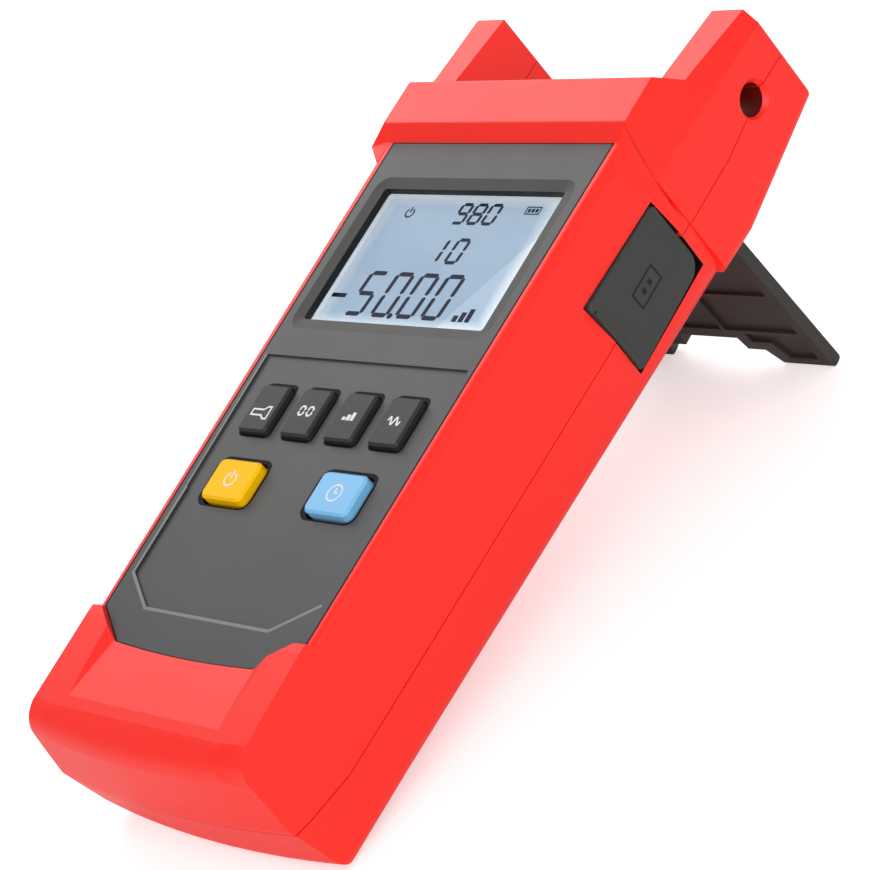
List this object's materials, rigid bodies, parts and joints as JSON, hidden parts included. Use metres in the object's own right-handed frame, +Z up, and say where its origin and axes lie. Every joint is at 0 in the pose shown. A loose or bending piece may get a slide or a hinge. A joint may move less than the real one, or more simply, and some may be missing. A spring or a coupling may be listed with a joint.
{
  "type": "optical power meter",
  "caption": "Handheld optical power meter in a two-part moulded case, leaning on its open hinged stand, with display, keys, side socket cover and a fibre port between two horns.",
  "frame": {"origin": "middle of the bounding box, on the plane that the heel and the stand rest on", "axes": "+Z up, +X to the right of someone who reads the display, +Y away from that person, up along the leaning case"},
  "size_m": [0.0822, 0.1937, 0.0864],
  "materials": {
    "case_red": "moulded, fine satin texture",
    "panel_grey": "painted satin grey",
    "window_clear": "clear window",
    "foam_black": "matt foam",
    "display_pale": "reflective display glass",
    "light_white": "milky",
    "board_green": "solder resist",
    "header_black": "plain",
    "mat_grey": "matt silicone",
    "key_dark": "matt",
    "key_yellow": "matt",
    "key_blue": "matt",
    "cover_dark": "satin",
    "stand_dark": "moulded satin",
    "socket_steel": "plated",
    "port_metal": "nickel plated",
    "sleeve_white": "polished ceramic look",
    "screw_steel": "zinc plated",
    "cell_can": "printed wrap",
    "contact_metal": "nickel plated"
  },
  "bodies": {
    "case": {"front_shell": "case_red", "rear_shell": "case_red", "front_panel": "panel_grey", "display_window": "window_clear", "display_gasket": "foam_black", "display_glass": "display_pale", "light_guide": "light_white", "main_board": "board_green", "rear_board": "board_green", "board_header": "header_black", "key_mat": "mat_grey", "side_socket": "socket_steel", "optical_port": "port_metal", "ferrule_sleeve": "sleeve_white", "port_nut": "port_metal", "detector": "socket_steel", "detector_carrier": "board_green", "battery_door": "case_red", "cell_1": "cell_can", "cell_2": "cell_can", "cell_3": "cell_can", "contact_leaves": "contact_metal", "contact_plates": "contact_metal", "case_screws": "screw_steel", "board_screws": "screw_steel", "rear_board_screws": "screw_steel", "door_screw": "screw_steel"},
    "stand": {"kickstand": "stand_dark"},
    "cover": {"side_cover": "cover_dark"},
    "small_key_1_cap": {"small_key_1": "key_dark"},
    "small_key_2_cap": {"small_key_2": "key_dark"},
    "small_key_3_cap": {"small_key_3": "key_dark"},
    "small_key_4_cap": {"small_key_4": "key_dark"},
    "power_key_cap": {"power_key": "key_yellow"},
    "mode_key_cap": {"mode_key": "key_blue"}
  },
  "joints": [
    {"name": "stand_hinge", "type": "hinge", "parent": "case", "child": "stand", "pos_m": [0, 0.06775, 0.04633], "axis": [1, 0, 0], "range_deg": [-93, 0]},
    {"name": "cover_hinge", "type": "hinge", "parent": "case", "child": "cover", "pos_m": [0.0377, 0.05004, 0.05605], "axis": [0, -0.3083, 0.9513], "range_deg": [0, 100]},
    {"name": "small_key_1_press", "type": "slide", "parent": "case", "child": "small_key_1_cap", "axis": [0, 0.3083, -0.9513], "range_m": [0, 0.0006], "stiffness_N_per_m": 900, "springref_m": -0.0004},
    {"name": "small_key_2_press", "type": "slide", "parent": "case", "child": "small_key_2_cap", "axis": [0, 0.3083, -0.9513], "range_m": [0, 0.0006], "stiffness_N_per_m": 900, "springref_m": -0.0004},
    {"name": "small_key_3_press", "type": "slide", "parent": "case", "child": "small_key_3_cap", "axis": [0, 0.3083, -0.9513], "range_m": [0, 0.0006], "stiffness_N_per_m": 900, "springref_m": -0.0004},
    {"name": "small_key_4_press", "type": "slide", "parent": "case", "child": "small_key_4_cap", "axis": [0, 0.3083, -0.9513], "range_m": [0, 0.0006], "stiffness_N_per_m": 900, "springref_m": -0.0004},
    {"name": "power_key_press", "type": "slide", "parent": "case", "child": "power_key_cap", "axis": [0, 0.3083, -0.9513], "range_m": [0, 0.0006], "stiffness_N_per_m": 900, "springref_m": -0.0004},
    {"name": "mode_key_press", "type": "slide", "parent": "case", "child": "mode_key_cap", "axis": [0, 0.3083, -0.9513], "range_m": [0, 0.0006], "stiffness_N_per_m": 900, "springref_m": -0.0004}
  ]
}
